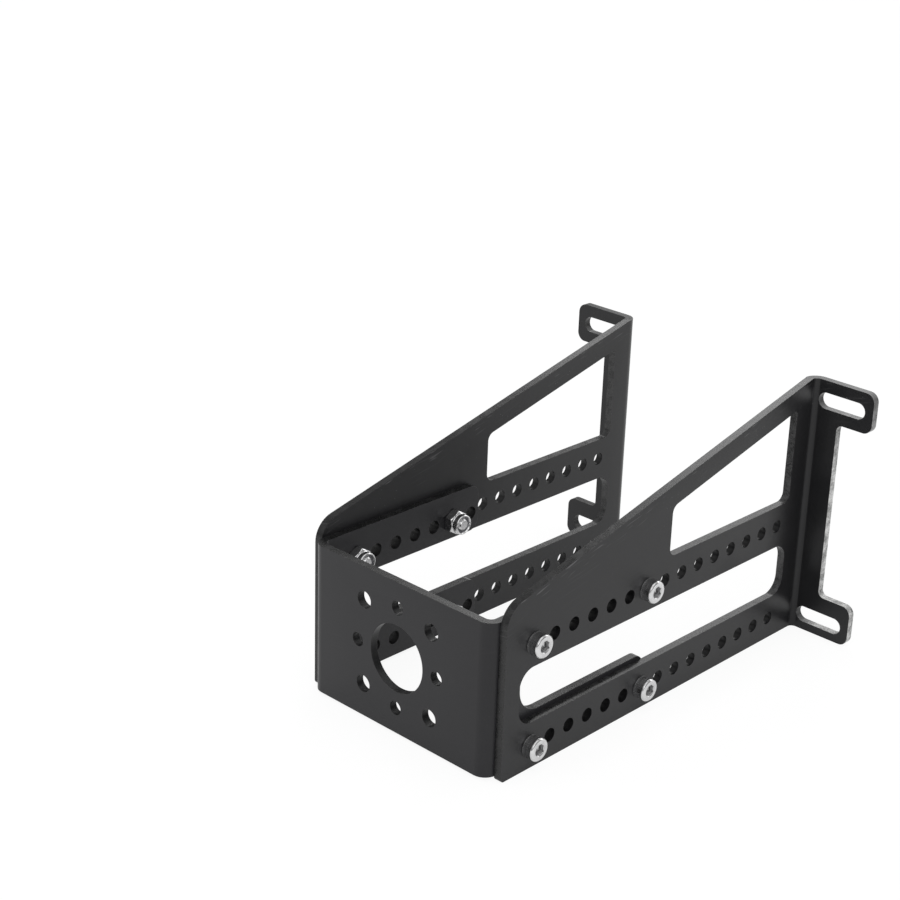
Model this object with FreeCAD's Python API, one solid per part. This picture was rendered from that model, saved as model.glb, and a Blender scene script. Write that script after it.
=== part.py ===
import FreeCAD, Part
import math
import os

# Adjustable stand-off motor mount: a folded motor bracket slides between two folded side plates and
# is bolted to them through rows of holes. Millimetres. X to the right, Y from the motor face to the
# rear mounting plane, Z up. Origin: middle of the footprint, on the resting plane.

# Sheet
sheet = 2.0                    # thickness of the bracket and of both side plates
bend_inner_radius = 1.5        # inside radius of every fold
sheet_gap = 0.0                # play between a bracket leg and its side plate, closed by the screws

# Overall
mount_length = 114.0           # motor face to rear mounting plane
plate_height = 68.0            # side plate at the flange
flange_span = 94.4             # outer edge of the left flange to outer edge of the right flange

# Motor bracket
bracket_width = 56.5           # over the outsides of the two legs
bracket_height = 37.5
bracket_lift = 0.9             # lower edge of the bracket above the lower edge of the side plates
center_hole_diameter = 16.5
small_circle_diameter = 25.0   # circle of the four smaller motor holes
small_hole_diameter = 3.4
large_circle_diameter = 30.0   # circle of the four larger motor holes, turned by 45 degrees
large_hole_diameter = 4.2
motor_hole_count = 4
arm_gap_height = 13.6          # opening between the upper and the lower arm of each leg
arm_gap_front = 10.0           # closed end of that opening, from the motor face
arm_gap_radius = 6.3
arm_end_margin = 2.6           # from the last hole of an arm to the end of the arm
arm_corner_radius = 2.8

# Rows of adjusting holes
row_pitch = 6.35
row_spacing = 25.4             # lower row to upper row
row_lower_height = 5.8         # lower row above the lower edge of the side plate
row_first_distance = 11.9      # first hole from the motor face
row_rear_margin = 12.0         # least distance from the last hole to the rear mounting plane
arm_hole_count = 7

# Screws, nuts and the holes that they need
thread_diameter = 3.0
row_hole_clearance = 0.4       # on the diameter, screw in its adjusting hole
thread_clearance = 0.05        # on the radius, screw in its nut
screw_length = 8.0
head_diameter = 5.5
head_height = 3.0
head_edge_width = 0.35         # bevel round the head
socket_width = 2.5             # across flats
socket_depth = 1.5
socket_mouth_width = 0.05      # bevel outside the corners of the socket's mouth
socket_floor_angle = 30.0      # slope of the drilled floor, degrees
tip_edge_width = 0.4           # bevel at the tip of the thread
nut_width = 5.5                # across flats
nut_hex_height = 2.6
nut_height = 4.0
nut_edge_width = 0.35          # rounding of the nut's corners, along its axis
nut_face_margin = 0.1          # round end faces inside the flats of the nut
nut_entry_width = 0.3          # countersink at the start of the nut's thread
collar_diameter = 5.0
collar_mouth_diameter = 3.9
collar_lip_width = 0.35        # rolled lip that holds the nylon ring
insert_diameter = 4.3
insert_height = 1.1
insert_play = 0.05             # nylon ring in its seat, all round
rear_hole_right = 6            # hole taken by the rear screws, counted from 0 at the front
rear_hole_left = 5

# Side plate
plate_front = 2.8              # front edge of a side plate behind the motor face
plate_nose_height = 41.5       # where the sloping edge would meet the front edge
nose_radius = 6.0
toe_radius = 1.0
slot_height = 13.8             # long slot between the rows
slot_front = 7.6
slot_rear_margin = 8.4         # slot to the rear mounting plane
slot_radius = 4.3
window_front = 57.5
window_rear_margin = 8.9       # window to the rear mounting plane
window_bottom = 36.7
window_band = 5.4              # metal between the window and the sloping edge
window_radius = 2.2
window_tip_radius = 1.0

# Rear flange
strip_width = 7.2              # flange between its tabs, from the outside of the side plate
tab_upper_height = 10.4
tab_lower_height = 10.7
tab_radius = 2.4
tab_root_radius = 1.6
tab_slot_length = 13.4
tab_slot_width = 4.2
tab_slot_edge = 2.3            # end of a slot to the outer edge of its tab
tab_slot_upper_center = 5.2    # centre of the upper slot below the top of the flange
tab_slot_lower_center = 4.3    # centre of the lower slot above the bottom of the flange

# Places that several pieces share
front_y = -mount_length / 2
rear_y = mount_length / 2
leg_outer_x = bracket_width / 2
leg_inner_x = leg_outer_x - sheet
plate_inner_x = leg_outer_x + sheet_gap
plate_outer_x = plate_inner_x + sheet
bend_outer_radius = bend_inner_radius + sheet
row_hole_diameter = thread_diameter + row_hole_clearance
row_heights = {"lower": row_lower_height, "upper": row_lower_height + row_spacing}
row_middle = row_lower_height + row_spacing / 2
motor_axis_z = bracket_lift + bracket_height / 2
arm_end_y = front_y + row_first_distance + (arm_hole_count - 1) * row_pitch + arm_end_margin
bend_start_y = rear_y - bend_outer_radius
nut_bore_radius = thread_diameter / 2 + thread_clearance
plate_hole_count = 1 + int((mount_length - row_first_distance - row_rear_margin) / row_pitch)
margin = 5.0                   # how far a cutting body runs past what it cuts


def row_hole_y(index):
    return front_y + row_first_distance + index * row_pitch


def rounded_face(corners, place):
    """Face with the given corners (u, v, radius), each rounded by its radius; place maps (u, v) to 3-D."""
    edges = []
    starts = []
    ends = []
    middles = []
    count = len(corners)
    for i in range(count):
        u, v, radius = corners[i]
        back = FreeCAD.Vector(corners[i - 1][0] - u, corners[i - 1][1] - v, 0).normalize()
        ahead = FreeCAD.Vector(corners[(i + 1) % count][0] - u, corners[(i + 1) % count][1] - v, 0).normalize()
        corner = FreeCAD.Vector(u, v, 0)
        half = back.getAngle(ahead) / 2
        reach = radius / math.tan(half)
        starts.append(corner + back * reach)
        ends.append(corner + ahead * reach)
        middles.append(corner + (back + ahead).normalize() * (radius / math.sin(half) - radius))
    for i in range(count):
        if corners[i][2] > 0:
            arc = Part.Arc(place(starts[i]), place(middles[i]), place(ends[i]))
            edges.append(arc.toShape())
        edges.append(Part.makeLine(place(ends[i]), place(starts[(i + 1) % count])))
    return Part.Face(Part.Wire(edges))


def side_prism(corners, x_from, x_to):
    """Outline in the side view (Y, Z), run across the width."""
    face = rounded_face(corners, lambda p: FreeCAD.Vector(x_from, p.x, p.y))
    return face.extrude(FreeCAD.Vector(x_to - x_from, 0, 0))


def front_prism(corners, y_from, y_to):
    """Outline in the front view (X, Z), run along the length."""
    face = rounded_face(corners, lambda p: FreeCAD.Vector(p.x, y_from, p.y))
    return face.extrude(FreeCAD.Vector(0, y_to - y_from, 0))


def top_prism(corners, z_from, z_to):
    """Outline in the top view (X, Y), run upward."""
    face = rounded_face(corners, lambda p: FreeCAD.Vector(p.x, p.y, z_from))
    return face.extrude(FreeCAD.Vector(0, 0, z_to - z_from))


def obround(center_u, center_v, length, width):
    """Corners of a slot with round ends, lying along the first direction."""
    half_length = length / 2
    half_width = width / 2
    radius = half_width * 0.9999
    return [(center_u - half_length, center_v - half_width, radius),
            (center_u + half_length, center_v - half_width, radius),
            (center_u + half_length, center_v + half_width, radius),
            (center_u - half_length, center_v + half_width, radius)]


def motor_bracket():
    """U-shaped sheet: motor plate in front, a leg on each side, each leg forked into two arms."""
    top = bracket_lift + bracket_height
    folded = top_prism([(-leg_outer_x, arm_end_y, 0),
                        (-leg_outer_x, front_y, bend_outer_radius),
                        (leg_outer_x, front_y, bend_outer_radius),
                        (leg_outer_x, arm_end_y, 0),
                        (leg_inner_x, arm_end_y, 0),
                        (leg_inner_x, front_y + sheet, bend_inner_radius),
                        (-leg_inner_x, front_y + sheet, bend_inner_radius),
                        (-leg_inner_x, arm_end_y, 0)], bracket_lift, top)
    gap_low = motor_axis_z - arm_gap_height / 2
    gap_high = motor_axis_z + arm_gap_height / 2
    gap_front = front_y + arm_gap_front
    forked = side_prism([(front_y - margin, bracket_lift, 0),
                         (arm_end_y, bracket_lift, arm_corner_radius),
                         (arm_end_y, gap_low, arm_corner_radius),
                         (gap_front, gap_low, arm_gap_radius),
                         (gap_front, gap_high, arm_gap_radius),
                         (arm_end_y, gap_high, arm_corner_radius),
                         (arm_end_y, top, arm_corner_radius),
                         (front_y - margin, top, 0)], -leg_outer_x - margin, leg_outer_x + margin)
    bracket = folded.common(forked)
    bracket = bracket.cut(Part.makeCompound(motor_holes() + row_holes(arm_hole_count)))
    return bracket.removeSplitter()


def motor_holes():
    """Centre hole and the two circles of screw holes in the motor plate."""
    start = FreeCAD.Vector(0, front_y - margin, motor_axis_z)
    along = FreeCAD.Vector(0, 1, 0)
    depth = sheet + 2 * margin
    holes = [Part.makeCylinder(center_hole_diameter / 2, depth, start, along)]
    circles = [(small_circle_diameter, small_hole_diameter, 0.0),
               (large_circle_diameter, large_hole_diameter, 0.5)]
    for circle, diameter, turn in circles:
        for i in range(motor_hole_count):
            angle = 2 * math.pi * (i + turn) / motor_hole_count
            offset = FreeCAD.Vector(math.cos(angle), 0, math.sin(angle)) * (circle / 2)
            holes.append(Part.makeCylinder(diameter / 2, depth, start + offset, along))
    return holes


def row_holes(count):
    """Both rows of adjusting holes, as cylinders right across the mount."""
    reach = plate_outer_x + margin
    holes = []
    for height in row_heights.values():
        for i in range(count):
            start = FreeCAD.Vector(-reach, row_hole_y(i), height)
            holes.append(Part.makeCylinder(row_hole_diameter / 2, 2 * reach, start, FreeCAD.Vector(1, 0, 0)))
    return holes


def sloping_edge_z(y):
    """Height of the sloping upper edge at a place along the length."""
    run = bend_start_y - (front_y + plate_front)
    rise = plate_height - plate_nose_height
    return plate_nose_height + rise * (y - front_y - plate_front) / run


def side_plate():
    """Right side plate: sloping web with slot, window and hole rows, and a flange folded outward."""
    flange_x = flange_span / 2
    folded = top_prism([(plate_inner_x, front_y + plate_front, 0),
                        (plate_outer_x, front_y + plate_front, 0),
                        (plate_outer_x, rear_y - sheet, bend_inner_radius),
                        (flange_x, rear_y - sheet, 0),
                        (flange_x, rear_y, 0),
                        (plate_inner_x, rear_y, bend_outer_radius)], 0, plate_height)
    side = side_prism([(front_y + plate_front, 0, toe_radius),
                       (rear_y + margin, 0, 0),
                       (rear_y + margin, plate_height, 0),
                       (bend_start_y, plate_height, 0),
                       (front_y + plate_front, plate_nose_height, nose_radius)], 0, flange_x + margin)
    strip_x = plate_outer_x + strip_width
    upper_tab_z = plate_height - tab_upper_height
    flange = front_prism([(0, 0, 0),
                          (flange_x, 0, tab_radius),
                          (flange_x, tab_lower_height, tab_radius),
                          (strip_x, tab_lower_height, tab_root_radius),
                          (strip_x, upper_tab_z, tab_root_radius),
                          (flange_x, upper_tab_z, tab_radius),
                          (flange_x, plate_height, tab_radius),
                          (0, plate_height, 0)], front_y, rear_y + margin)
    plate = folded.common(side).common(flange)
    openings = [long_slot(), window()] + tab_slots() + row_holes(plate_hole_count)
    return plate.cut(Part.makeCompound(openings)).removeSplitter()


def long_slot():
    """Slot between the two hole rows, open across the plate."""
    start = front_y + slot_front
    end = rear_y - slot_rear_margin
    low = row_middle - slot_height / 2
    high = row_middle + slot_height / 2
    corners = [(start, low, slot_radius),
               (end, low, slot_radius),
               (end, high, slot_radius),
               (start, high, slot_radius)]
    return side_prism(corners, plate_inner_x - margin, plate_outer_x + margin)


def window():
    """Window above the upper row; its upper edge runs parallel to the sloping edge."""
    start = front_y + window_front
    end = rear_y - window_rear_margin
    slope = math.atan2(sloping_edge_z(end) - sloping_edge_z(start), end - start)
    drop = window_band / math.cos(slope)
    corners = [(start, window_bottom, window_radius),
               (end, window_bottom, window_radius),
               (end, sloping_edge_z(end) - drop, window_tip_radius),
               (start, sloping_edge_z(start) - drop, window_radius)]
    return side_prism(corners, plate_inner_x - margin, plate_outer_x + margin)


def tab_slots():
    """One fixing slot in each tab of the flange."""
    center_x = flange_span / 2 - tab_slot_edge - tab_slot_length / 2
    slots = []
    for center_z in (tab_slot_lower_center, plate_height - tab_slot_upper_center):
        corners = obround(center_x, center_z, tab_slot_length, tab_slot_width)
        slots.append(front_prism(corners, rear_y - sheet - margin, rear_y + margin))
    return slots


def revolved(points):
    """Solid turned about the X axis from (x, radius) points."""
    outline = Part.makePolygon([FreeCAD.Vector(x, r, 0) for x, r in points + points[:1]])
    return Part.Face(outline).revolve(FreeCAD.Vector(0, 0, 0), FreeCAD.Vector(1, 0, 0), 360)


def hexagon(width, x_from, x_to):
    """Hexagonal prism along X, given across its flats."""
    radius = width / math.sqrt(3)
    points = []
    for i in range(7):
        angle = math.radians(60 * i + 30)
        points.append(FreeCAD.Vector(x_from, radius * math.cos(angle), radius * math.sin(angle)))
    return Part.Face(Part.makePolygon(points)).extrude(FreeCAD.Vector(x_to - x_from, 0, 0))


def cap_screw():
    """Socket head cap screw along X; its head bears at x = 0 and its tip points to -X."""
    head = head_diameter / 2
    thread = thread_diameter / 2
    body = revolved([(head_height, 0),
                     (head_height, head - head_edge_width),
                     (head_height - head_edge_width, head),
                     (0, head),
                     (0, thread),
                     (tip_edge_width - screw_length, thread),
                     (-screw_length, thread - tip_edge_width),
                     (-screw_length, 0)])
    floor = head_height - socket_depth
    drill = socket_width / 2
    socket = hexagon(socket_width, floor, head_height + margin)
    point = floor - drill * math.tan(math.radians(socket_floor_angle))
    drilled_floor = revolved([(floor, 0),
                              (floor, drill),
                              (point, 0)])
    mouth = socket_width / math.sqrt(3) + socket_mouth_width
    bevel_start = head_height + drill / 2 - mouth
    mouth_bevel = revolved([(bevel_start, 0),
                            (bevel_start, drill / 2),
                            (head_height + margin, mouth + margin),
                            (head_height + margin, 0)])
    return body.cut(socket.fuse(drilled_floor).fuse(mouth_bevel)).removeSplitter()


def lock_nut():
    """Nut with a collar for a nylon ring; it bears at x = 0 and stands toward -X."""
    corner = nut_width / math.sqrt(3)
    face = nut_width / 2 - nut_face_margin
    rounding = revolved([(0, 0),
                         (0, face),
                         (-nut_edge_width, corner),
                         (nut_edge_width - nut_hex_height, corner),
                         (-nut_hex_height, face),
                         (-nut_hex_height, 0)])
    body = hexagon(nut_width, 0, -nut_hex_height).common(rounding)
    collar = collar_diameter / 2
    body = body.fuse(revolved([(-nut_hex_height / 2, 0),
                               (-nut_hex_height / 2, collar),
                               (collar_lip_width - nut_height, collar),
                               (-nut_height, collar - collar_lip_width),
                               (-nut_height, 0)]))
    seat = insert_diameter / 2 + insert_play
    seat_top = collar_lip_width - nut_height
    seat_floor = seat_top + insert_height + 2 * insert_play
    bore = revolved([(margin, 0),
                     (margin, nut_bore_radius),
                     (seat_floor, nut_bore_radius),
                     (seat_floor, seat),
                     (seat_top, seat),
                     (seat_top, collar_mouth_diameter / 2),
                     (-nut_height - margin, collar_mouth_diameter / 2),
                     (-nut_height - margin, 0)])
    entry = revolved([(margin, 0),
                      (margin, nut_bore_radius + nut_entry_width + margin),
                      (-nut_entry_width, nut_bore_radius),
                      (-nut_entry_width, 0)])
    return body.cut(bore.fuse(entry)).removeSplitter()


def nut_insert():
    """Nylon ring in the collar of a lock nut."""
    top = collar_lip_width - nut_height + insert_play
    outer = insert_diameter / 2
    return revolved([(top, nut_bore_radius),
                     (top, outer),
                     (top + insert_height, outer),
                     (top + insert_height, nut_bore_radius)])


def placed(shape, side, x, y, z):
    """Fastener piece moved to its hole; on the left side it is turned half round to face outward."""
    piece = shape.copy()
    if side == "left":
        piece.rotate(FreeCAD.Vector(0, 0, 0), FreeCAD.Vector(0, 0, 1), 180)
        x = -x
    piece.translate(FreeCAD.Vector(x, y, z))
    return piece


def build():
    """All pieces by name."""
    right_plate = side_plate()
    pieces = {"motor_bracket": motor_bracket(),
              "side_plate_right": right_plate,
              "side_plate_left": right_plate.mirror(FreeCAD.Vector(0, 0, 0), FreeCAD.Vector(1, 0, 0))}
    screw = cap_screw()
    nut = lock_nut()
    insert = nut_insert()
    stations = [("right", "front", 0), ("right", "rear", rear_hole_right),
                ("left", "front", 0), ("left", "rear", rear_hole_left)]
    for side, end, index in stations:
        for row, height in row_heights.items():
            where = side + "_" + row + "_" + end
            y = row_hole_y(index)
            pieces["cap_screw_" + where] = placed(screw, side, plate_outer_x, y, height)
            pieces["lock_nut_" + where] = placed(nut, side, leg_inner_x, y, height)
            pieces["nut_insert_" + where] = placed(insert, side, leg_inner_x, y, height)
    return pieces


os.makedirs("parts", exist_ok=True)
for name, shape in build().items():
    shape.exportStep("parts/" + name + ".step")
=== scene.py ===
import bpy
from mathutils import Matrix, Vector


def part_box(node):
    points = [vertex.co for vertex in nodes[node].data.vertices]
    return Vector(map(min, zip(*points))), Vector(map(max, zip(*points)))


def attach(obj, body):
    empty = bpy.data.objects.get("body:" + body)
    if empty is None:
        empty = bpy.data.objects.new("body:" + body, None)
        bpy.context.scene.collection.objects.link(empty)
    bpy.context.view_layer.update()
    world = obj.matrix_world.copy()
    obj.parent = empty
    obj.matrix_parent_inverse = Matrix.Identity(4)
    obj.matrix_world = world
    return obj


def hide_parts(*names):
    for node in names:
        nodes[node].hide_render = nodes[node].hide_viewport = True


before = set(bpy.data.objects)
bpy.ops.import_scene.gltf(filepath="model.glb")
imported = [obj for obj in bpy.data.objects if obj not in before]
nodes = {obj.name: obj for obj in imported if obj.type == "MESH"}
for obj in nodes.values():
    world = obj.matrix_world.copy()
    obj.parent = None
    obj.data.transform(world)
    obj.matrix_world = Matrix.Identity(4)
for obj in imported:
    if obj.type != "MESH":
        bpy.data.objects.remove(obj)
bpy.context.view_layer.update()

import math

import bmesh
import bpy
import numpy as np
from mathutils import Matrix, Vector

# Adjustable stand-off motor mount: two folded side plates, a forked motor bracket between them, and
# eight socket head screws with lock nuts. X to the right, Y from the motor face to the rear, Z up.

mm = 0.001
scene = bpy.context.scene

# A noise texture's values lie mostly between these two.
noiseLow = 0.3
noiseHigh = 0.7

places = [side + "_" + row + "_" + end
          for side in ("right", "left") for row in ("lower", "upper") for end in ("front", "rear")]


# Adds a shader node; an input is either a fixed value or the output of another node.
def addNode(tree, kind, inputs=None, **settings):
    node = tree.nodes.new(kind)
    for name, value in settings.items():
        setattr(node, name, value)
    for name, value in (inputs or {}).items():
        if isinstance(value, bpy.types.NodeSocket):
            tree.links.new(value, node.inputs[name])
        else:
            node.inputs[name].default_value = value
    return node


# Sum, difference, product, quotient or greater of two values, or 1 where the first is less.
def compute(tree, operation, first, second):
    return addNode(tree, "ShaderNodeMath", {0: first, 1: second}, operation=operation).outputs[0]


# Straight line from one range of values to another, held at its ends.
def spread(tree, value, fromLow, fromHigh, toLow=0.0, toHigh=1.0):
    return addNode(tree, "ShaderNodeMapRange", {"Value": value, "From Min": fromLow, "From Max": fromHigh,
                                                "To Min": toLow, "To Max": toHigh}).outputs["Result"]


# Colour between two colours by a mask.
def blendColors(tree, mask, first, second):
    node = addNode(tree, "ShaderNodeMix", {"Factor": mask}, data_type="RGBA")
    for index, color in ((6, first), (7, second)):
        if isinstance(color, bpy.types.NodeSocket):
            tree.links.new(color, node.inputs[index])
        else:
            node.inputs[index].default_value = (*color, 1)
    return node.outputs[2]


# An empty node group with its inputs at the given values; gives back the group and its two ends.
def startGroup(name, inputs, outputs):
    group = bpy.data.node_groups.new(name, "ShaderNodeTree")
    for label, value in inputs.items():
        socket = group.interface.new_socket(label, in_out="INPUT", socket_type="NodeSocketFloat")
        socket.default_value = value
    for label in outputs:
        group.interface.new_socket(label, in_out="OUTPUT", socket_type="NodeSocketFloat")
    inlet = group.nodes.new("NodeGroupInput").outputs
    outlet = group.nodes.new("NodeGroupOutput").inputs
    return group, inlet, outlet


# Places a group in a material with the material's own values.
def useGroup(tree, group, **values):
    node = addNode(tree, "ShaderNodeGroup", node_tree=group)
    for label, value in values.items():
        node.inputs[label].default_value = value
    return node.outputs


# A new object for a mesh, a light or a camera.
def linkObject(name, data):
    thing = bpy.data.objects.new(name, data)
    scene.collection.objects.link(thing)
    return thing


# A point on the object, in metres, and its three parts.
def objectPlace(tree):
    where = addNode(tree, "ShaderNodeTexCoord").outputs["Object"]
    return where, addNode(tree, "ShaderNodeSeparateXYZ", {"Vector": where}).outputs


# Fine satin grain: noise at the size of one grain, and a slow cloudy mottle. Sizes in millimetres.
def makeSatinGrain():
    settings = {"grainSize": 0.25, "mottleSize": 9.0}
    group, inlet, outlet = startGroup("satinGrain", settings, ("grain", "mottle"))
    place = addNode(group, "ShaderNodeTexCoord").outputs["Object"]
    grainScale = compute(group, "DIVIDE", 1 / mm, inlet["grainSize"])
    mottleScale = compute(group, "DIVIDE", 1 / mm, inlet["mottleSize"])
    fine = addNode(group, "ShaderNodeTexNoise", {"Vector": place, "Scale": grainScale, "Detail": 2.0,
                                                 "Roughness": 0.6})
    slow = addNode(group, "ShaderNodeTexNoise", {"Vector": place, "Scale": mottleScale, "Detail": 4.0,
                                                 "Roughness": 0.6})
    group.links.new(fine.outputs["Fac"], outlet["grain"])
    group.links.new(spread(group, slow.outputs["Fac"], noiseLow, noiseHigh), outlet["mottle"])
    return group


markShape = {
    "speckPatches": 0.12,      # slow patches to the millimetre
    "scratchPatches": 0.11,
    "patchFade": 0.12,
    "scratchEdge": 0.68,       # a scratch starts where its noise passes the first and is full at the second
    "scratchMiddle": 0.76,
}


# Small bright specks: the middles of random cells, as far as the size in millimetres reaches, kept only
# where a slow noise is under the cover.
def makeSpecks():
    settings = {"spacing": 1.6, "size": 0.09, "cover": 0.5}
    group, inlet, outlet = startGroup("specks", settings, ("mask",))
    place = addNode(group, "ShaderNodeTexCoord").outputs["Object"]
    scale = compute(group, "DIVIDE", 1 / mm, inlet["spacing"])
    cells = addNode(group, "ShaderNodeTexVoronoi", {"Vector": place, "Scale": scale, "Randomness": 1.0})
    reach = compute(group, "MULTIPLY", cells.outputs["Distance"], inlet["spacing"])
    dot = compute(group, "LESS_THAN", reach, inlet["size"])
    patches = addNode(group, "ShaderNodeTexNoise", {"Vector": place, "Detail": 1.0,
                                                    "Scale": markShape["speckPatches"] / mm})
    wanted = compute(group, "LESS_THAN", patches.outputs["Fac"], inlet["cover"])
    group.links.new(compute(group, "MULTIPLY", dot, wanted), outlet["mask"])
    return group


# Scratches: the peaks of a noise drawn out along the sheet, so that each is a short straight streak. Length
# and spacing are in millimetres. X plus Y runs along every upright face, round the folds too, and Z across
# it. The streaks are kept only where a slow noise is above the rarity.
def makeScratches():
    settings = {"turn": -0.24, "length": 14.0, "spacing": 0.4, "rarity": 0.58}
    group, inlet, outlet = startGroup("scratches", settings, ("mask",))
    place, parts = objectPlace(group)
    along = compute(group, "ADD", parts["X"], parts["Y"])
    flat = addNode(group, "ShaderNodeCombineXYZ", {"X": along, "Y": parts["Z"]}).outputs[0]
    turned = addNode(group, "ShaderNodeVectorRotate", {"Vector": flat, "Angle": inlet["turn"]},
                     rotation_type="Z_AXIS").outputs[0]
    turned = addNode(group, "ShaderNodeSeparateXYZ", {"Vector": turned}).outputs
    lengthwise = compute(group, "DIVIDE", compute(group, "DIVIDE", turned["X"], mm), inlet["length"])
    crosswise = compute(group, "DIVIDE", compute(group, "DIVIDE", turned["Y"], mm), inlet["spacing"])
    drawn = addNode(group, "ShaderNodeCombineXYZ", {"X": lengthwise, "Y": crosswise}).outputs[0]
    wave = addNode(group, "ShaderNodeTexNoise", {"Vector": drawn, "Scale": 1.0, "Detail": 0.0})
    line = spread(group, wave.outputs["Fac"], markShape["scratchEdge"], markShape["scratchMiddle"])
    patches = addNode(group, "ShaderNodeTexNoise", {"Vector": place, "Detail": 1.0,
                                                    "Scale": markShape["scratchPatches"] / mm})
    everywhere = compute(group, "ADD", inlet["rarity"], markShape["patchFade"])
    wanted = spread(group, patches.outputs["Fac"], inlet["rarity"], everywhere)
    group.links.new(compute(group, "MULTIPLY", line, wanted), outlet["mask"])
    return group


satinGrain = makeSatinGrain()
specks = makeSpecks()
scratches = makeScratches()


# A new material; gives back its node tree and its shader too.
def startMaterial(name):
    material = bpy.data.materials.new(name)
    material.use_nodes = True
    tree = material.node_tree
    return material, tree, tree.nodes["Principled BSDF"]


blackSheet = {
    "grainHeight": 0.010,      # millimetres, as all lengths here
    "roughnessChange": 0.05,
    "specularLevel": 0.36,
    "speckColor": (0.17, 0.17, 0.175),
    "specks": {"spacing": 1.3, "size": 0.10, "cover": 0.42},
    "scratches": {"turn": -0.16, "length": 16.0, "spacing": 0.35, "rarity": 0.50},
    "scratchStrength": 0.20,
    "slopeStart": 54.84,       # height of the plates' sloping edge at Y = 0, and its rise
    "slopeRise": 0.246,
    "wearReach": 12.0,         # marks thin out over this depth below the sloping edge, down to this share
    "wearBelow": 0.12,
    "scuffs": {"turn": -0.26, "length": 5.0, "spacing": 0.5, "rarity": 0.40},
    "scuffStrength": 0.80,
    "scuffReach": 4.5,
    "wearSheenFront": -46.0,       # wear and painted sheen on the plates' cut edges grow from this Y to the next
    "wearSheenBehind": 34.0,
    "leftWearSheenShare": 0.72,         # left plate against right: less wear, and painted shade inside the mount
    "middleReach": 5.0,        # on both sides of X = 0, where one share passes into the other
    "bareFrom": 33.0,          # cut edges are painted pale past this X and this Y, each over the fade: worn bare metal and painted sheen
    "bareBehind": 50.0,
    "bareFade": 4.0,
    "bareUpTo": 45.0,          # all of it up to this height, and a share of it at the top
    "bareTop": 68.0,
    "bareTopShare": 0.08,
    # Tones of the pale strip: worn bare metal and painted sheen.
    "bareSheenDark": (0.10, 0.10, 0.10),
    "bareSheenPale": (0.92, 0.92, 0.91),
}

# Each finish: two tones, sizes of grain and mottle, the grain's share of the tone, contrast, roughness and
# strength of marks. A front share is the wear and painted sheen that is there at the front; only a scuffed
# finish has scuffs.
blackFinishes = {
    "blackBracketFace": {
        "dark": (0.0138, 0.0136, 0.0158), "pale": (0.0205, 0.0202, 0.0228), "grainSize": 0.28,
        "mottleSize": 11.0, "grainShare": 0.45, "contrast": 1.0, "roughness": 0.34, "marked": 0.10},
    "blackPlateFace": {
        "dark": (0.0124, 0.0124, 0.0136), "pale": (0.0192, 0.0192, 0.0206), "grainSize": 0.28,
        "mottleSize": 11.0, "grainShare": 0.45, "contrast": 1.0, "roughness": 0.34, "marked": 0.80,
        "scuffed": True},
    # Hole walls are darker than the cut edges: painted shade inside the holes.
    "holeWallPaintedShade": {
        "dark": (0.0050, 0.0050, 0.0056), "pale": (0.0110, 0.0110, 0.0118), "grainSize": 0.28,
        "mottleSize": 11.0, "grainShare": 0.50, "contrast": 1.0, "roughness": 0.40, "marked": 0.20},
    "blackBracketEdge": {
        "dark": (0.0040, 0.0040, 0.0042), "pale": (0.0240, 0.0240, 0.0248), "grainSize": 0.30,
        "mottleSize": 3.0, "grainShare": 0.50, "contrast": 2.0, "roughness": 0.27, "marked": 0.60},
    # Plate edges are paler than the bracket's: wear, and painted sheen of the lamp above the sloping edge.
    "blackPlateEdge": {
        "dark": (0.0080, 0.0080, 0.0084), "pale": (0.0920, 0.0920, 0.0930), "grainSize": 0.30,
        "mottleSize": 2.4, "grainShare": 0.50, "contrast": 1.9, "roughness": 0.28, "marked": 0.80,
        "frontShare": 0.28},
    # Rounded corners are pale from wear, and from painted highlight lines along the edges.
    "wornLitBracketCorner": {
        "dark": (0.0060, 0.0060, 0.0064), "pale": (0.0700, 0.0700, 0.0710), "grainSize": 0.34,
        "mottleSize": 3.0, "grainShare": 0.50, "contrast": 2.0, "roughness": 0.30, "marked": 0.60},
    "wornLitPlateCorner": {
        "dark": (0.0080, 0.0080, 0.0084), "pale": (0.3000, 0.3000, 0.3020), "grainSize": 0.34,
        "mottleSize": 2.4, "grainShare": 0.50, "contrast": 2.2, "roughness": 0.32, "marked": 0.90,
        "frontShare": 0.60},
}


# Wear and painted sheen of the plates' cut edges: both grow in a straight line from front to rear, and the
# left plate has less, as painted shade inside the mount.
def edgeWearAndSheen(tree, parts, frontShare):
    growthToRear = spread(tree, parts["Y"], blackSheet["wearSheenFront"] * mm, blackSheet["wearSheenBehind"] * mm,
                    frontShare, 1.0)
    middle = blackSheet["middleReach"] * mm
    sided = spread(tree, parts["X"], -middle, middle, blackSheet["leftWearSheenShare"], 1.0)
    return compute(tree, "MULTIPLY", growthToRear, sided)


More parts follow.
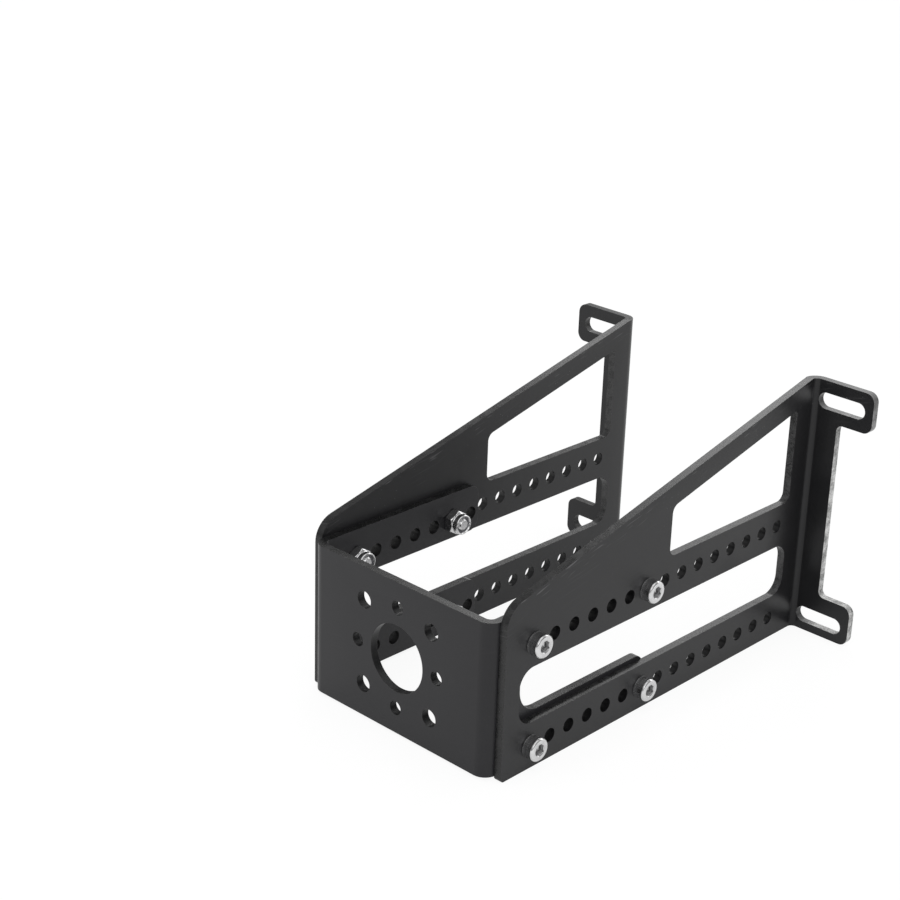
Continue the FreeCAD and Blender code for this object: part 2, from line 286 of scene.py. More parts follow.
# Specks and faint scratches. On a scuffed face they gather toward the sloping edge, where short scuffs join
# them; the depth below that edge is its start plus its rise times Y, less Z.
def sheetMarks(tree, parts, finish):
    flecks = useGroup(tree, specks, **blackSheet["specks"])["mask"]
    lines = useGroup(tree, scratches, **blackSheet["scratches"])["mask"]
    lines = compute(tree, "MULTIPLY", lines, blackSheet["scratchStrength"])
    marks = compute(tree, "MAXIMUM", flecks, lines)
    if not finish.get("scuffed"):
        return compute(tree, "MULTIPLY", marks, finish["marked"])
    slope = compute(tree, "ADD", compute(tree, "MULTIPLY", parts["Y"], blackSheet["slopeRise"]),
                    blackSheet["slopeStart"] * mm)
    below = compute(tree, "SUBTRACT", slope, parts["Z"])
    scuffs = useGroup(tree, scratches, **blackSheet["scuffs"])["mask"]
    nearEdge = spread(tree, below, 0.0, blackSheet["scuffReach"] * mm, blackSheet["scuffStrength"], 0.0)
    marks = compute(tree, "MAXIMUM", marks, compute(tree, "MULTIPLY", scuffs, nearEdge))
    gathered = spread(tree, below, 0.0, blackSheet["wearReach"] * mm, 1.0, blackSheet["wearBelow"])
    return compute(tree, "MULTIPLY", marks, compute(tree, "MULTIPLY", gathered, finish["marked"]))


# Where the cut edges of the right flange are painted pale, as worn bare metal and painted sheen: far to the
# right, at the rear, and less at the top. The three shares are multiplied.
def bareEdgeAndSheen(tree, parts):
    fade = blackSheet["bareFade"]
    outward = spread(tree, parts["X"], blackSheet["bareFrom"] * mm, (blackSheet["bareFrom"] + fade) * mm)
    behind = spread(tree, parts["Y"], blackSheet["bareBehind"] * mm, (blackSheet["bareBehind"] + fade) * mm)
    upward = spread(tree, parts["Z"], blackSheet["bareUpTo"] * mm, blackSheet["bareTop"] * mm,
                    1.0, blackSheet["bareTopShare"])
    return compute(tree, "MULTIPLY", compute(tree, "MULTIPLY", outward, behind), upward)


# Black satin sheet: two near blacks by mottle and grain, with marks over them. The tone is spread about its
# middle by the contrast.
def makeBlackFinish(name):
    finish = blackFinishes[name]
    material, tree, shader = startMaterial(name)
    parts = objectPlace(tree)[1]
    grain = useGroup(tree, satinGrain, grainSize=finish["grainSize"], mottleSize=finish["mottleSize"])
    tone = compute(tree, "ADD", compute(tree, "MULTIPLY", grain["mottle"], 1 - finish["grainShare"]),
                   compute(tree, "MULTIPLY", grain["grain"], finish["grainShare"]))
    tone = spread(tree, tone, 0.5 - 0.5 / finish["contrast"], 0.5 + 0.5 / finish["contrast"])
    # Wear and painted sheen on the plates' cut edges and corners, growing to the rear.
    if "frontShare" in finish:
        tone = compute(tree, "MULTIPLY", tone, edgeWearAndSheen(tree, parts, finish["frontShare"]))
    color = blendColors(tree, tone, finish["dark"], finish["pale"])
    color = blendColors(tree, sheetMarks(tree, parts, finish), color, blackSheet["speckColor"])
    # Pale strip on the right flange's cut edges: worn bare metal and painted sheen.
    if "frontShare" in finish:
        bareAndSheenColor = blendColors(tree, tone, blackSheet["bareSheenDark"], blackSheet["bareSheenPale"])
        color = blendColors(tree, bareEdgeAndSheen(tree, parts), color, bareAndSheenColor)
    tree.links.new(color, shader.inputs["Base Color"])
    smoothest = finish["roughness"] - blackSheet["roughnessChange"]
    roughest = finish["roughness"] + blackSheet["roughnessChange"]
    rough = spread(tree, grain["mottle"], 0.0, 1.0, smoothest, roughest)
    tree.links.new(rough, shader.inputs["Roughness"])
    bump = addNode(tree, "ShaderNodeBump", {"Height": grain["grain"], "Strength": 1.0,
                                            "Distance": blackSheet["grainHeight"] * mm})
    tree.links.new(bump.outputs["Normal"], shader.inputs["Normal"])
    shader.inputs["Specular IOR Level"].default_value = blackSheet["specularLevel"]
    return material


sheetFinishes = {name: makeBlackFinish(name) for name in blackFinishes}

brightSteel = {
    "darkColor": (0.46, 0.46, 0.47),
    "paleColor": (0.93, 0.93, 0.93),
    "roughness": 0.20,
    "roughnessChange": 0.10,
    "turningLines": 22.0,      # to the millimetre, and to the whole turn
    "linesAround": 3.0,
    "turningHeight": 0.004,
    "lineHeight": 0.5,         # against the grain's
    "grainSize": 0.18,
    "mottleSize": 1.6,
    "lineShade": 0.35,         # tone that is left in the darkest lines and mottles
    "mottleShade": 0.6,
    "roughTone": 0.2,          # tone at which the steel is roughest
    # Painted shade at the bottom of the socket: its colour and strength.
    "pocketShadeColor": (0.10, 0.10, 0.10),
    "pocketShade": 0.25,
}


# Plated steel: tone and roughness from lines that follow the turning, on the piece's own UV map. Painted
# shade darkens the bottom of the socket: fully up to the first length along the profile, in millimetres,
# and not past the second.
def makeSteel(name, pocketStart, pocketEnd):
    material, tree, shader = startMaterial(name)
    along = addNode(tree, "ShaderNodeUVMap", uv_map="turning").outputs[0]
    stretch = (brightSteel["linesAround"], brightSteel["turningLines"], 1.0)
    drawn = addNode(tree, "ShaderNodeMapping", {"Vector": along, "Scale": stretch}).outputs[0]
    lines = addNode(tree, "ShaderNodeTexNoise", {"Vector": drawn, "Scale": 1.0, "Detail": 3.0,
                                                 "Roughness": 0.7}).outputs["Fac"]
    grain = useGroup(tree, satinGrain, grainSize=brightSteel["grainSize"],
                     mottleSize=brightSteel["mottleSize"])
    lineTone = spread(tree, lines, noiseLow, noiseHigh, brightSteel["lineShade"], 1.0)
    mottleTone = spread(tree, grain["mottle"], 0.0, 1.0, brightSteel["mottleShade"], 1.0)
    tone = compute(tree, "MULTIPLY", lineTone, mottleTone)
    color = blendColors(tree, tone, brightSteel["darkColor"], brightSteel["paleColor"])
    depth = addNode(tree, "ShaderNodeSeparateXYZ", {"Vector": along}).outputs["Y"]
    # Painted shade in the bottom of the socket.
    pocket = spread(tree, depth, pocketStart, pocketEnd, brightSteel["pocketShade"], 0.0)
    color = blendColors(tree, pocket, color, brightSteel["pocketShadeColor"])
    tree.links.new(color, shader.inputs["Base Color"])
    rough = spread(tree, tone, brightSteel["roughTone"], 1.0,
                   brightSteel["roughness"] + brightSteel["roughnessChange"],
                   brightSteel["roughness"] - brightSteel["roughnessChange"])
    tree.links.new(rough, shader.inputs["Roughness"])
    shader.inputs["Metallic"].default_value = 1.0
    height = compute(tree, "MULTIPLY", lines, brightSteel["lineHeight"])
    height = compute(tree, "ADD", height, grain["grain"])
    bump = addNode(tree, "ShaderNodeBump", {"Height": height,
                                            "Distance": brightSteel["turningHeight"] * mm})
    tree.links.new(bump.outputs["Normal"], shader.inputs["Normal"])
    return material


greyNylon = {
    "darkColor": (0.095, 0.095, 0.11),
    "paleColor": (0.20, 0.20, 0.215),
    "grainSize": 0.12,
    "grainHeight": 0.01,
    "mottleSize": 0.9,
    "smoothest": 0.45,
    "roughest": 0.65,
}


# Grey nylon: soft, slightly clouded, with a fine moulded grain.
def makeNylon():
    material, tree, shader = startMaterial("greyNylon")
    grain = useGroup(tree, satinGrain, grainSize=greyNylon["grainSize"], mottleSize=greyNylon["mottleSize"])
    color = blendColors(tree, grain["mottle"], greyNylon["darkColor"], greyNylon["paleColor"])
    tree.links.new(color, shader.inputs["Base Color"])
    rough = spread(tree, grain["grain"], 0.0, 1.0, greyNylon["smoothest"], greyNylon["roughest"])
    tree.links.new(rough, shader.inputs["Roughness"])
    bump = addNode(tree, "ShaderNodeBump", {"Height": grain["grain"],
                                            "Distance": greyNylon["grainHeight"] * mm})
    tree.links.new(bump.outputs["Normal"], shader.inputs["Normal"])
    return material


screwFinish = makeSteel("platedScrewSteel", pocketStart=2.7, pocketEnd=3.3)
nutFinish = makeSteel("platedNutSteel", pocketStart=-2.0, pocketEnd=-1.0)     # a nut has no socket
nylonFinish = makeNylon()
print("materials made")


sheetPiece = {
    "thickness": 2.0,
    "foldRadius": 2.5,         # middle of the sheet
    "edgeRounding": 0.22,
    "roundingSteps": 2,
    "roundedAngle": 35,        # degrees between two faces, from which their edge is rounded or drawn sharp
    "sharpAngle": 30,
    "flatAngle": 0.4,          # and up to which they are merged
    "mergeReach": 0.002,
    "skinShare": 0.98,         # of half the thickness, from which a point counts as on a rolled face
    "rows": (5.8, 31.2),       # heights of the hole rows
    "rowHoleReach": 1.8,
    "rowsBehind": 4.0,         # distance from the motor face
    "motorAxis": 19.65,
    "motorHoleReach": 17.2,
    "motorHoleSlack": 0.1,
}

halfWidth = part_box("motor_bracket")[1].x / mm
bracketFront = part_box("motor_bracket")[0].y / mm
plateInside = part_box("side_plate_right")[0].x / mm
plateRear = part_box("side_plate_right")[1].y / mm
foldOutside = sheetPiece["foldRadius"] + sheetPiece["thickness"] / 2


# Millimetres from the middle of the sheet for each point: straight legs joined by a round fold. Across and
# along start at the fold's centre and run toward the outside of the fold; between them it is the distance
# from that centre less the fold's radius, and on a leg the distance from the centre's line less the radius.
def offsetFromMiddle(across, along, foldRadius):
    inFold = np.hypot(across, along) - foldRadius
    return np.where(across < 0, along - foldRadius, np.where(along < 0, across - foldRadius, inFold))


# Distances from the centre of the bracket's fold, sideways and to the front.
def bracketFold(points):
    return np.abs(points[:, 0]) - halfWidth + foldOutside, bracketFront + foldOutside - points[:, 1]


# Distances from the centre of a plate's fold, inward and to the rear.
def plateFold(points):
    return plateInside + foldOutside - np.abs(points[:, 0]), points[:, 1] - plateRear + foldOutside


# True for each point in a hole row of an arm or plate, or among the motor's holes: a distance from the
# row's height, or from the motor's axis on the motor face.
def inHoles(points):
    fromRow = np.min([np.abs(points[:, 2] - row) for row in sheetPiece["rows"]], axis=0)
    fromAxis = np.hypot(points[:, 0], points[:, 2] - sheetPiece["motorAxis"])
    fromFace = points[:, 1] - bracketFront
    atRow = (fromFace >= sheetPiece["rowsBehind"]) & (fromRow < sheetPiece["rowHoleReach"])
    onFace = fromFace < sheetPiece["thickness"] + sheetPiece["motorHoleSlack"]
    return atRow | onFace & (fromAxis < sheetPiece["motorHoleReach"])


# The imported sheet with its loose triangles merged, its edges rounded, and its faces sorted into rolled
# face, cut edge, rounded corner and hole wall. A face is rolled where all its corners are on one skin of
# the sheet, and a hole wall where it is cut and all its corners are in a hole.
def finishSheet(nodeName, pieceName, foldPlace, finishNames):
    work = bmesh.new()
    work.from_mesh(nodes[nodeName].data)
    bmesh.ops.remove_doubles(work, verts=work.verts, dist=sheetPiece["mergeReach"] * mm)
    bmesh.ops.dissolve_limit(work, angle_limit=math.radians(sheetPiece["flatAngle"]),
                             verts=work.verts, edges=work.edges)
    mesh = bpy.data.meshes.new(pieceName)
    work.to_mesh(mesh)
    work.free()
    points = np.empty(len(mesh.vertices) * 3)
    mesh.vertices.foreach_get("co", points)
    points = points.reshape(-1, 3) / mm
    across, along = foldPlace(points)
    offset = offsetFromMiddle(across, along, sheetPiece["foldRadius"])
    onSkin = np.abs(offset) > sheetPiece["skinShare"] * sheetPiece["thickness"] / 2
    skin = np.where(onSkin, np.sign(offset), 0)
    corner = np.empty(len(mesh.loops), int)
    mesh.loops.foreach_get("vertex_index", corner)
    first = np.empty(len(mesh.polygons), int)
    mesh.polygons.foreach_get("loop_start", first)
    lowest = np.minimum.reduceat(skin[corner], first)
    highest = np.maximum.reduceat(skin[corner], first)
    isCut = ~((lowest == highest) & (lowest != 0))
    inHole = np.minimum.reduceat(inHoles(points)[corner].astype(int), first)
    finishIndex = np.where(isCut, 1 + 2 * inHole, 0)      # face 0, cut edge 1, hole wall 3
    mesh.polygons.foreach_set("material_index", finishIndex.astype(np.int32))
    mesh.shade_smooth()
    mesh.set_sharp_from_angle(angle=math.radians(sheetPiece["sharpAngle"]))
    piece = linkObject(pieceName, mesh)
    for name in finishNames:
        mesh.materials.append(sheetFinishes[name])
    rounding = piece.modifiers.new("edgeRounding", "BEVEL")
    rounding.width = sheetPiece["edgeRounding"] * mm
    rounding.segments = sheetPiece["roundingSteps"]
    rounding.limit_method = "ANGLE"
    rounding.angle_limit = math.radians(sheetPiece["roundedAngle"])
    rounding.material = 2      # rounded corner
    rounding.harden_normals = True
    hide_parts(nodeName)
    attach(piece, "root")
    return piece


# Face, cut edge, rounded corner and hole wall, in this order.
bracketFinishes = ("blackBracketFace", "blackBracketEdge", "wornLitBracketCorner", "holeWallPaintedShade")
plateFinishes = ("blackPlateFace", "blackPlateEdge", "wornLitPlateCorner", "holeWallPaintedShade")
finishSheet("motor_bracket", "folded_bracket", bracketFold, bracketFinishes)
finishSheet("side_plate_right", "folded_plate_right", plateFold, plateFinishes)
finishSheet("side_plate_left", "folded_plate_left", plateFold, plateFinishes)
print("sheets finished")

turnedSharpAngle = 38          # degrees, for screws, nuts and rings


# Joins bands of rings into one closed skin. A band is an array (ring, column, xyz) in millimetres.
# Four-sided faces run between neighbouring rings, one wider face per column joins a band to a coarser next
# one, and the two ends close with a fan to the middle, or with each other where the profile is a loop. The
# UV map holds the share of the turn and the length along the profile.
def skinFromBands(name, bands, loop=False):
    points = []
    faces = []
    maps = []
    start = 0
    length = 0.0
    previous = None
    for band in bands:
        rings, columns = band.shape[:2]
        if loop:
            band = np.concatenate([band, band[:1]])
        step = np.linalg.norm(np.diff(band, axis=0), axis=2).mean(1)
        if previous is not None:
            length += np.linalg.norm(band[0, 0] - previous[0])
        along = length + np.concatenate([[0.0], np.cumsum(step)])
        length = along[-1]
        index = start + np.arange(rings * columns).reshape(rings, columns)
        if loop:
            index = np.concatenate([index, index[:1]])
            band = band[:-1]
        turned = np.roll(index, -1, axis=1)
        share = np.arange(columns + 1) / columns
        faces += np.stack([index[:-1], turned[:-1], turned[1:], index[1:]], -1).reshape(-1, 4).tolist()
        shareLow, alongLow = np.meshgrid(share[:-1], along[:-1])
        shareHigh, alongHigh = np.meshgrid(share[1:], along[1:])
        corners = [shareLow, alongLow, shareHigh, alongLow, shareHigh, alongHigh, shareLow, alongHigh]
        maps.append(np.stack(corners, -1).reshape(-1, 2))
        if previous is not None:
            ratio = previous[1].size // columns
            fine = previous[1].reshape(columns, ratio)
            nextFine = np.roll(fine, -1, axis=0)[:, :1]
            wide = np.concatenate([fine, nextFine, turned[0][:, None], index[0][:, None]], 1)
            faces += wide.tolist()
            steps = np.arange(columns)[:, None] / columns + np.arange(ratio + 1) / (columns * ratio)
            shares = np.concatenate([steps, share[1:, None], share[:-1, None]], 1)
            heights = np.full_like(shares, along[0])
            maps.append(np.stack([shares, heights], -1).reshape(-1, 2))
        points.append(band.reshape(-1, 3))
        previous = (band[-1, 0], index[-1])
        start += rings * columns
    points = np.concatenate(points)
    if not loop:
        firstRing = np.arange(bands[0].shape[1])
        lastRing = previous[1]
        middles = np.stack([points[firstRing].mean(0), points[lastRing].mean(0)])
        faces += np.stack([np.roll(firstRing, -1), firstRing, np.full_like(firstRing, start)], -1).tolist()
        faces += np.stack([lastRing, np.roll(lastRing, -1), np.full_like(lastRing, start + 1)], -1).tolist()
        points = np.concatenate([points, middles])
        maps.append(np.tile([[0.5, 0.0]], (3 * firstRing.size, 1)))
        maps.append(np.tile([[0.5, length]], (3 * lastRing.size, 1)))
    mesh = bpy.data.meshes.new(name)
    mesh.from_pydata((points * mm).tolist(), [], faces)
    mesh.uv_layers.new(name="turning").data.foreach_set("uv", np.concatenate(maps).ravel())
    work = bmesh.new()
    work.from_mesh(mesh)
    if work.calc_volume(signed=True) < 0:
        bmesh.ops.reverse_faces(work, faces=work.faces)
    work.to_mesh(mesh)
    work.free()
    mesh.shade_smooth()
    mesh.set_sharp_from_angle(angle=math.radians(turnedSharpAngle))
    return linkObject(name, mesh)


# Rings (x, radius) turned about the X axis: y = radius sin(angle), z = radius cos(angle).
def turnRings(x, radius, angles):
    x, radius = np.broadcast_arrays(x, radius)
    return np.stack([x + 0 * angles, radius * np.sin(angles), radius * np.cos(angles)], -1)


# Radius of a hexagon with the given width across its flats.
def hexagonRadius(width, angles):
    return width / 2 / np.cos(np.mod(angles, math.pi / 3) - math.pi / 6)


# Moves local millimetres (x outward from the bearing face) to a place on the right or the left side.
def toPlace(points, side, bearing, y, z):
    turn = 1 if side == "right" else -1
    return points * np.array([turn, turn, 1]) + np.array([turn * bearing, y, z])


screwPiece = {
    "headRadius": 2.75,
    "headHeight": 3.0,
    "headEdge": 0.55,
    "headTurns": (4, 86, 6),   # degrees of the first and last ring on that edge, and their number
    "underEdge": 0.12,
    "underTurns": (10, 80, 3),
    "knurlRidges": 36,
    "knurlDepth": 0.07,
    "knurlTop": 0.02,          # below the rounded edge
    "knurlBottom": 0.18,       # above the bearing face
    "knurlFade": 0.24,
    "socketWidth": 2.5,
    "socketDepth": 1.5,
    "drillAngle": 30,          # degrees, of the cone at the socket's bottom
    "mouthRadius": 1.50,
    "threadRadius": 1.5,
    "threadPitch": 0.5,
    "threadDepth": 0.26,
    "threadStart": 0.2,        # below the head, and the length over which the thread grows
    "threadGrowth": 0.8,
    "grooveWidth": 1.15,       # height and steepness of the groove's wave, which is held between 0 and 1
    "grooveSlope": 2.9,
    "tipCut": 0.36,
    "tipSlope": 0.9,
    "length": 8.0,
    "columns": 144,
    "shankColumns": 48,
    "ringsToThread": 8,
    "drillRings": (0.08, 0.35, 0.7, 0.98),     # shares of each part at which a ring lies
    "floorRings": (0.03, 1.0),
    "wallRings": (0.04, 0.5, 0.96),
    "mouthRings": (0.0, 0.5, 0.95),
    "topRings": (1.53, 1.8, 2.1, 2.16),        # radii of the rings on the flat top and below the head
    "bearingRings": (2.4, 1.75),
    "sideRings": (1.6, 0.9),                   # heights of rings where the ridges are full
}


# Head: a socket floor, six flat walls, a turned mouth, a flat top, a quarter-round edge and a side whose
# radius dips by a cosine for each ridge. Shank: the radius dips by a triangle wave of x and angle with its
# tops and bottoms cut flat, one step a turn, and is never more than that of the cone that points the tip.
def screwBands():
    s = screwPiece
    angles = np.arange(s["columns"]) * 2 * math.pi / s["columns"]
    top = s["headHeight"]
    floor = top - s["socketDepth"]
    drill = s["socketWidth"] / 2
    steepness = math.tan(math.radians(s["drillAngle"]))
    walls = hexagonRadius(s["socketWidth"], angles)
    mouthStart = top - (s["mouthRadius"] - walls)
    edge = s["headEdge"]
    rings = [turnRings(floor - drill * (1 - share) * steepness, drill * share, angles)
             for share in s["drillRings"]]
    rings += [turnRings(floor, drill + (walls - drill) * share, angles) for share in s["floorRings"]]
    rings += [turnRings(floor + (mouthStart - floor) * share, walls, angles) for share in s["wallRings"]]
    rings += [turnRings(mouthStart + (top - mouthStart) * share, walls + (s["mouthRadius"] - walls) * share,
                        angles) for share in s["mouthRings"]]
    rings += [turnRings(top, radius, angles) for radius in s["topRings"]]
    rings += [turnRings(top - edge * (1 - math.cos(turn)), s["headRadius"] - edge * (1 - math.sin(turn)),
                        angles) for turn in np.radians(np.linspace(*s["headTurns"]))]
    ridge = 0.5 - 0.5 * np.cos(s["knurlRidges"] * angles)
    knurlTop = top - edge - s["knurlTop"]
    knurlSide = [(knurlTop - s["knurlFade"] * share, share) for share in (0.0, 0.5, 1.0)]
    knurlSide += [(x, 1.0) for x in s["sideRings"]]
    knurlSide += [(s["knurlBottom"] + s["knurlFade"] * share, share) for share in (1.0, 0.5, 0.0)]
    for x, depth in knurlSide:
        rings.append(turnRings(x, s["headRadius"] - s["knurlDepth"] * depth * ridge, angles))
    for turn in np.radians(np.linspace(*s["underTurns"])):
        rings.append(turnRings(s["underEdge"] * (1 - math.sin(turn)),
                               s["headRadius"] - s["underEdge"] * (1 - math.cos(turn)), angles))
    rings += [turnRings(0.0, radius, angles) for radius in s["bearingRings"]]
    head = np.stack(rings)
    angles = np.arange(s["shankColumns"]) * 2 * math.pi / s["shankColumns"]
    x = -np.arange(0, s["length"] + 1e-6, s["threadPitch"] / s["ringsToThread"])[:, None]
    phase = np.mod(-x / s["threadPitch"] + angles / (2 * math.pi), 1.0)
    groove = np.clip(s["grooveWidth"] - np.abs(phase - 0.5) * s["grooveSlope"], 0, 1)
    growth = np.clip((-x - s["threadStart"]) / s["threadGrowth"], 0, 1)
    radius = s["threadRadius"] - s["threadDepth"] * groove * growth
    tip = s["threadRadius"] - s["tipCut"] + (s["length"] + x) * s["tipSlope"]
    return [head, turnRings(x, np.minimum(radius, tip), angles)]


nutPiece = {
    "width": 5.5,
    "hexHeight": 2.4,
    "height": 4.0,
    "bearingDrop": 0.34,       # depth of the cone that cuts the corners, at each end
    "collarDrop": 0.58,
    "faceRadius": 2.62,
    "bearingRadius": 2.55,
    "boreRadius": 1.55,
    "boreEntry": 0.30,
    "boreEntryDepth": 0.34,
    "collarRadius": 2.55,
    "faceCut": 0.05,
    "waist": 0.06,             # cut from the collar's radius, and its distance from the hexagon
    "waistDrop": 0.12,
    "neck": 0.04,              # the same where the lip starts
    "neckDrop": 0.25,
    "lipRadius": 0.38,
    "lipTurns": (0, 90, 6),    # degrees of the first and last ring, and their number
    "lipRoll": 0.22,           # how far the lip turns back into the mouth, how deep, and its bulge
    "lipDepth": 0.10,
    "lipBulge": 0.16,
    "rollTurns": (20, 90, 4),
    "mouthRadius": 1.95,
    "seatRadius": 2.2,
    "seatTop": 0.36,           # below the lip
    "seatDepth": 1.2,
    "boreRounding": 0.05,
    "columns": 120,
    "step": 0.02,              # between two rings at a sharp corner
    "coneRings": (0.0, 0.12, 0.3, 0.5, 0.72, 1.0),
}


# Nut: a closed profile carried round the axis. The hexagon's radius is cut off by a cone at both ends,
# whose own radius grows by a sine, and that leaves the curved corners; above stand a waisted collar and a
# rolled lip round the seat of the ring.
def nutBand():
    n = nutPiece
    angles = np.arange(n["columns"]) * 2 * math.pi / n["columns"]
    flats = hexagonRadius(n["width"], angles)
    step = n["step"]
    corner = n["width"] / math.sqrt(3) + step / 2
    hexEnd = -n["hexHeight"]

    def cone(share):
        return n["faceRadius"] + (corner - n["faceRadius"]) * math.sin(share * math.pi / 2)

    rings = [turnRings(0.0, n["boreRadius"] + n["boreEntry"], angles),
             turnRings(0.0, n["bearingRadius"], angles)]
    rings += [turnRings(-step - n["bearingDrop"] * share, np.minimum(flats, cone(share)), angles)
              for share in n["coneRings"]]
    rings.append(turnRings(hexEnd / 2, flats, angles))
    rings += [turnRings(hexEnd + step + n["collarDrop"] * share, np.minimum(flats, cone(share)), angles)
              for share in reversed(n["coneRings"])]
    collar = n["collarRadius"]
    lip = n["lipRadius"]
    lipX = -n["height"] + lip
    rings += [turnRings(x, radius, angles) for x, radius in (
        (hexEnd, n["faceRadius"] - n["faceCut"]), (hexEnd - step, collar + step),
        (hexEnd - n["waistDrop"], collar - n["waist"]), (lipX + n["neckDrop"], collar - n["neck"]))]
    for turn in np.radians(np.linspace(*n["lipTurns"])):
        rings.append(turnRings(lipX - lip * math.sin(turn), collar - lip * (1 - math.cos(turn)), angles))
    for turn in np.radians(np.linspace(*n["rollTurns"])):
        x = lipX - n["lipRoll"] * math.cos(turn) - n["lipDepth"] + n["lipBulge"] * math.sin(turn)
        radius = n["mouthRadius"] + (collar - lip - n["mouthRadius"]) * (1 - math.sin(turn))
        rings.append(turnRings(x, radius, angles))
    seatTop = -n["height"] + n["seatTop"]
    seatEnd = seatTop + n["seatDepth"]
    rings += [turnRings(x, radius, angles) for x, radius in (
        (seatTop, n["mouthRadius"] + step), (seatTop + step, n["seatRadius"]), (seatEnd, n["seatRadius"]),
        (seatEnd + step, n["boreRadius"] + n["boreRounding"]),
        (seatEnd + 2 * n["boreRounding"], n["boreRadius"]), (-n["boreEntryDepth"], n["boreRadius"]))]
    return np.stack(rings)


ringPiece = {
    "innerRadius": 1.55,
    "outerRadius": 2.15,
    "front": -3.6,
    "height": 1.1,
    "edge": 0.12,
    "columns": 96,
    "profilePoints": 24,
}


# Nylon ring: a rectangle with round corners carried round the axis. Each point of the profile is a corner's
# centre plus the edge radius toward the point's own angle.
def ringBand():
    r = ringPiece
    angles = np.arange(r["columns"]) * 2 * math.pi / r["columns"]
    turn = (np.arange(r["profilePoints"]) + 0.5) * 2 * math.pi / r["profilePoints"]
    halfHeight = r["height"] / 2 - r["edge"]
    halfBand = (r["outerRadius"] - r["innerRadius"]) / 2 - r["edge"]
    middleX = r["front"] + r["height"] / 2
    middleRadius = (r["outerRadius"] + r["innerRadius"]) / 2
    x = middleX + np.sign(np.sin(turn)) * halfHeight + r["edge"] * np.sin(turn)
    radius = middleRadius + np.sign(np.cos(turn)) * halfBand + r["edge"] * np.cos(turn)
    return turnRings(x[:, None], radius[:, None], angles)


screwShape = screwBands()
nutShape = nutBand()
ringShape = ringBand()
for place in places:
    side = place.split("_")[0]
    low, high = [np.array(corner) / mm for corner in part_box("cap_screw_" + place)]
    y, z = (low[1] + high[1]) / 2, (low[2] + high[2]) / 2
    bearing = max(abs(low[0]), abs(high[0])) - screwPiece["headHeight"]
    bands = [toPlace(band, side, bearing, y, z) for band in screwShape]
    piece = skinFromBands("socket_screw_" + place, bands)
    piece.data.materials.append(screwFinish)
    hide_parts("cap_screw_" + place)
    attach(piece, "root")
    low, high = [np.array(corner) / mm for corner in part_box("lock_nut_" + place)]
    bearing = max(abs(low[0]), abs(high[0]))
    piece = skinFromBands("collar_nut_" + place, [toPlace(nutShape, side, bearing, y, z)], loop=True)
    piece.data.materials.append(nutFinish)
    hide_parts("lock_nut_" + place)
    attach(piece, "root")
    piece = skinFromBands("nylon_ring_" + place, [toPlace(ringShape, side, bearing, y, z)], loop=True)
    piece.data.materials.append(nylonFinish)
    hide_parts("nut_insert_" + place)
    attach(piece, "root")
print("screws and nuts made")


studio = {
    "roomLight": 0.55,
    "skyLow": 0.26,            # what gloss sees near the horizon and high up
    "skyHigh": 0.52,
    "skyRise": (0.45, 0.62),   # between these heights of its direction
    "skyBehind": 2.4,          # and of the white wall behind, which starts between these two Y
    "wallStart": (0.71, 0.79),
    "wallLow": 0.35,           # share of the wall that is left under these heights
    "wallRise": (0.30, 0.38),
    "floorColor": 0.88,
    "floorRoughness": 0.9,
    "cameraGlow": 0.90,        # the camera sees this glow and this share of the lit floor
    "cameraFloor": 0.16,
    "glossGlow": 0.37,         # gloss sees this glow and this share
    "glossFloor": 0.78,
    "floorHalf": 3.0,
}


# What gloss and glass see gets the mask 1, and light on the object gets 0.
def seenInGloss(tree, rays):
    return compute(tree, "MAXIMUM", rays["Is Glossy Ray"], rays["Is Transmission Ray"])


# A white background for the camera, and for gloss a sky that is brighter high up and behind the object.
def makeWorld():
    world = bpy.data.worlds.new("paleRoom")
    world.use_nodes = True
    scene.world = world
    tree = world.node_tree
    rays = addNode(tree, "ShaderNodeLightPath").outputs
    room = tree.nodes["Background"]
    room.inputs["Color"].default_value = (1, 1, 1, 1)
    toward = addNode(tree, "ShaderNodeTexCoord").outputs["Generated"]
    toward = addNode(tree, "ShaderNodeSeparateXYZ", {"Vector": toward}).outputs
    wall = spread(tree, toward["Y"], *studio["wallStart"], 0.0, studio["skyBehind"])
    wallHeight = spread(tree, toward["Z"], *studio["wallRise"], studio["wallLow"], 1.0)
    sky = spread(tree, toward["Z"], *studio["skyRise"], studio["skyLow"], studio["skyHigh"])
    sky = compute(tree, "ADD", sky, compute(tree, "MULTIPLY", wall, wallHeight))
    inGloss = seenInGloss(tree, rays)
    light = compute(tree, "ADD", compute(tree, "MULTIPLY", sky, inGloss),
                    compute(tree, "MULTIPLY", compute(tree, "SUBTRACT", 1.0, inGloss), studio["roomLight"]))
    tree.links.new(light, room.inputs["Strength"])
    white = addNode(tree, "ShaderNodeBackground", {"Color": (1, 1, 1, 1), "Strength": 1.0})
    mix = addNode(tree, "ShaderNodeMixShader", {0: rays["Is Camera Ray"], 1: room.outputs[0],
                                                2: white.outputs[0]})
    tree.links.new(mix.outputs[0], tree.nodes["World Output"].inputs[0])


# A glow of white and a share of the lit floor, added.
def glowingFloor(tree, glow, share):
    lit = addNode(tree, "ShaderNodeBsdfDiffuse", {"Color": (share, share, share, 1)})
    white = addNode(tree, "ShaderNodeEmission", {"Color": (1, 1, 1, 1), "Strength": glow})
    return addNode(tree, "ShaderNodeAddShader", {0: lit.outputs[0], 1: white.outputs[0]}).outputs[0]


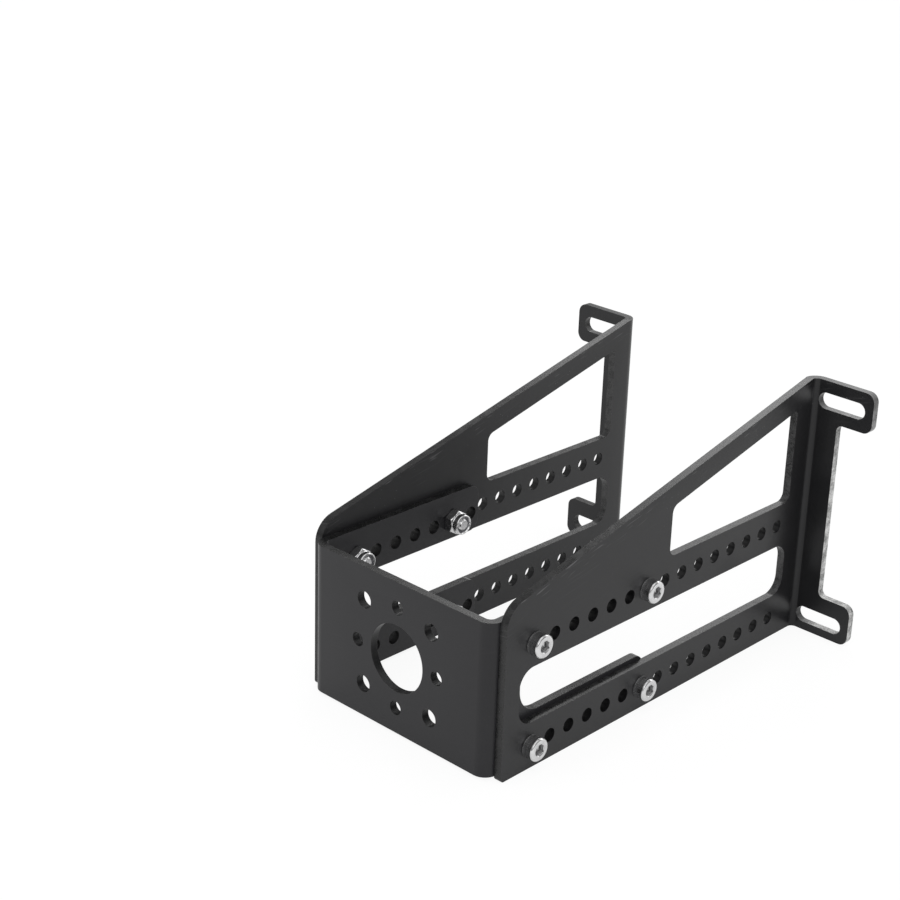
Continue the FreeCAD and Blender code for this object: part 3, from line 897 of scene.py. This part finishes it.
# A square floor that looks white to the camera and keeps the object's shadow.
def makeFloor():
    material, tree, shader = startMaterial("paleFloor")
    shader.inputs["Base Color"].default_value = (*[studio["floorColor"]] * 3, 1)
    shader.inputs["Roughness"].default_value = studio["floorRoughness"]
    shader.inputs["Specular IOR Level"].default_value = 0.0
    rays = addNode(tree, "ShaderNodeLightPath").outputs
    inGloss = glowingFloor(tree, studio["glossGlow"], studio["glossFloor"])
    inView = glowingFloor(tree, studio["cameraGlow"], studio["cameraFloor"])
    mix = addNode(tree, "ShaderNodeMixShader", {0: seenInGloss(tree, rays), 1: shader.outputs[0],
                                                2: inGloss})
    mix = addNode(tree, "ShaderNodeMixShader", {0: rays["Is Camera Ray"], 1: mix.outputs[0], 2: inView})
    tree.links.new(mix.outputs[0], tree.nodes["Material Output"].inputs[0])
    half = studio["floorHalf"]
    mesh = bpy.data.meshes.new("floor")
    corners = [(-half, -half, 0), (half, -half, 0), (half, half, 0), (-half, half, 0)]
    mesh.from_pydata(corners, [], [(0, 1, 2, 3)])
    mesh.materials.append(material)
    floor = linkObject("floor", mesh)


# Each lamp: place in metres, side of its square in metres, power in watts. All of them face one point.
lamps = {
    "softBack": ((-0.675, 0.84, 0.82), 0.36, 1.3),
    "softFront": ((-0.9, -1.1, 0.9), 1.0, 1.5),
    "softRight": ((0.9, -0.75, 0.75), 0.8, 2.5),
    "softTop": ((0.3, -0.1, 1.4), 1.0, 2.0),
}
lampTarget = (0, 0, 0.03)


# A square lamp at each place, turned from there toward the target and unseen by the camera.
def hangLamps():
    for name, (where, size, power) in lamps.items():
        light = bpy.data.lights.new(name, "AREA")
        light.size = size
        light.energy = power
        lamp = linkObject(name, light)
        lamp.location = where
        lamp.rotation_euler = (Vector(lampTarget) - Vector(where)).to_track_quat("-Z", "Y").to_euler()
        lamp.visible_camera = False


cameraView = {
    "azimuth": 40.300,         # degrees, from the front toward the right
    "elevation": 20.889,
    "roll": 3.209,
    "distance": 419.389,       # millimetres, from the motor face's foot along the view
    "across": 39.5564,
    "upward": 73.1452,
    "lens": 74.355,
    "sensor": 36,
    "shiftX": -0.13319,
    "shiftY": -0.04273,
    "nearest": 0.01,           # metres
    "farthest": 20,
}


# The camera looks along the view, turned by its roll; its place is a sum of steps along its own three axes.
def placeCamera():
    azimuth, elevation, roll = [math.radians(cameraView[key]) for key in ("azimuth", "elevation", "roll")]
    level = math.cos(elevation)
    back = Vector((math.sin(azimuth) * level, -math.cos(azimuth) * level, math.sin(elevation)))
    right = Vector((math.cos(azimuth), math.sin(azimuth), 0))
    up = back.cross(right)
    right, up = (right * math.cos(roll) + up * math.sin(roll), up * math.cos(roll) - right * math.sin(roll))
    center = right * cameraView["across"] + up * cameraView["upward"] + back * cameraView["distance"]
    center += Vector((0, bracketFront, 0))
    camera = linkObject("camera", bpy.data.cameras.new("camera"))
    turn = Matrix((right, up, back)).transposed()
    camera.matrix_world = Matrix.Translation(center * mm) @ turn.to_4x4()
    camera.data.lens = cameraView["lens"]
    camera.data.sensor_width = cameraView["sensor"]
    camera.data.shift_x = cameraView["shiftX"]
    camera.data.shift_y = cameraView["shiftY"]
    camera.data.clip_start = cameraView["nearest"]
    camera.data.clip_end = cameraView["farthest"]
    scene.camera = camera


makeWorld()
makeFloor()
hangLamps()
placeCamera()
scene.view_settings.view_transform = "Standard"
print("studio ready")
